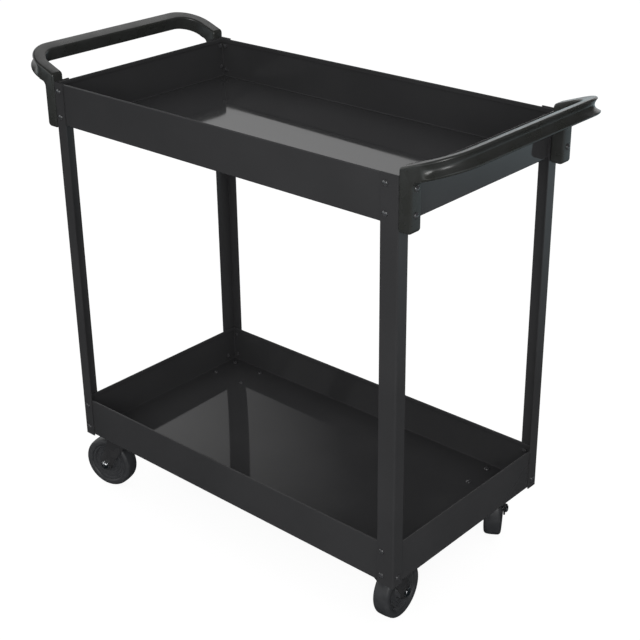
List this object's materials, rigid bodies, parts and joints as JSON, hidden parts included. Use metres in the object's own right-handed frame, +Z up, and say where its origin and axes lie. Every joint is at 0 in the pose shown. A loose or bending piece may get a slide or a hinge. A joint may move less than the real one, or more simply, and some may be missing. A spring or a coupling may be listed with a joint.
{
  "type": "two-shelf service cart",
  "caption": "Steel service cart with deep rimmed trays on angle legs, moulded push grips at both ends and swivel casters.",
  "frame": {"origin": "on the floor below the middle of the trays", "axes": "+X along the length of the trays towards the right grip, +Y towards the back, +Z up"},
  "size_m": [0.9544, 0.4484, 0.867],
  "materials": {
    "gloss_enamel": "gloss black baked enamel on pressed steel",
    "grip_plastic": "fine-grained black moulded plastic",
    "black_bolts": "black oxide on steel bolts and nuts",
    "zinc_steel": "bright zinc plate on steel fasteners",
    "caster_steel": "black plated pressed steel",
    "wheel_rubber": "hard black rubber",
    "wheel_plastic": "black moulded plastic wheel core"
  },
  "bodies": {
    "frame": {"upper_tray": "gloss_enamel", "lower_tray": "gloss_enamel", "leg_front_left": "gloss_enamel", "leg_front_right": "gloss_enamel", "leg_rear_left": "gloss_enamel", "leg_rear_right": "gloss_enamel", "right_grip": "grip_plastic", "left_grip": "grip_plastic", "upper_tray_bolts": "black_bolts", "upper_tray_nuts": "black_bolts", "lower_tray_bolts": "black_bolts", "lower_tray_nuts": "black_bolts", "grip_bolts": "black_bolts", "grip_nuts": "black_bolts", "caster_bolts": "black_bolts", "caster_nuts": "black_bolts", "caster_plate_front_left": "caster_steel", "caster_plate_front_right": "caster_steel", "caster_plate_rear_left": "caster_steel", "caster_plate_rear_right": "caster_steel"},
    "caster_front_left": {"fork_front_left": "caster_steel", "axle_bolt_front_left": "zinc_steel", "axle_nut_front_left": "zinc_steel"},
    "wheel_front_left": {"tyre_front_left": "wheel_rubber", "wheel_core_front_left": "wheel_plastic"},
    "caster_front_right": {"fork_front_right": "caster_steel", "axle_bolt_front_right": "zinc_steel", "axle_nut_front_right": "zinc_steel"},
    "wheel_front_right": {"tyre_front_right": "wheel_rubber", "wheel_core_front_right": "wheel_plastic"},
    "caster_rear_left": {"fork_rear_left": "caster_steel", "axle_bolt_rear_left": "zinc_steel", "axle_nut_rear_left": "zinc_steel"},
    "wheel_rear_left": {"tyre_rear_left": "wheel_rubber", "wheel_core_rear_left": "wheel_plastic"},
    "caster_rear_right": {"fork_rear_right": "caster_steel", "axle_bolt_rear_right": "zinc_steel", "axle_nut_rear_right": "zinc_steel"},
    "wheel_rear_right": {"tyre_rear_right": "wheel_rubber", "wheel_core_rear_right": "wheel_plastic"}
  },
  "joints": [
    {"name": "swivel_front_left", "type": "hinge", "parent": "frame", "child": "caster_front_left", "pos_m": [-0.325, -0.157, 0.115], "axis": [0, 0, 1], "continuous": true},
    {"name": "spin_front_left", "type": "hinge", "parent": "caster_front_left", "child": "wheel_front_left", "pos_m": [-0.35993, -0.16571, 0.0508], "axis": [0.2419, -0.9703, 0], "continuous": true},
    {"name": "swivel_front_right", "type": "hinge", "parent": "frame", "child": "caster_front_right", "pos_m": [0.325, -0.157, 0.115], "axis": [0, 0, 1], "continuous": true},
    {"name": "spin_front_right", "type": "hinge", "parent": "caster_front_right", "child": "wheel_front_right", "pos_m": [0.32155, -0.12117, 0.0508], "axis": [-0.9954, -0.0958, 0], "continuous": true},
    {"name": "swivel_rear_left", "type": "hinge", "parent": "frame", "child": "caster_rear_left", "pos_m": [-0.325, 0.157, 0.115], "axis": [0, 0, 1], "continuous": true},
    {"name": "spin_rear_left", "type": "hinge", "parent": "caster_rear_left", "child": "wheel_rear_left", "pos_m": [-0.35883, 0.16931, 0.0508], "axis": [-0.342, -0.9397, 0], "continuous": true},
    {"name": "swivel_rear_right", "type": "hinge", "parent": "frame", "child": "caster_rear_right", "pos_m": [0.325, 0.157, 0.115], "axis": [0, 0, 1], "continuous": true},
    {"name": "spin_rear_right", "type": "hinge", "parent": "caster_rear_right", "child": "wheel_rear_right", "pos_m": [0.307, 0.18818, 0.0508], "axis": [-0.866, -0.5, 0], "continuous": true}
  ]
}
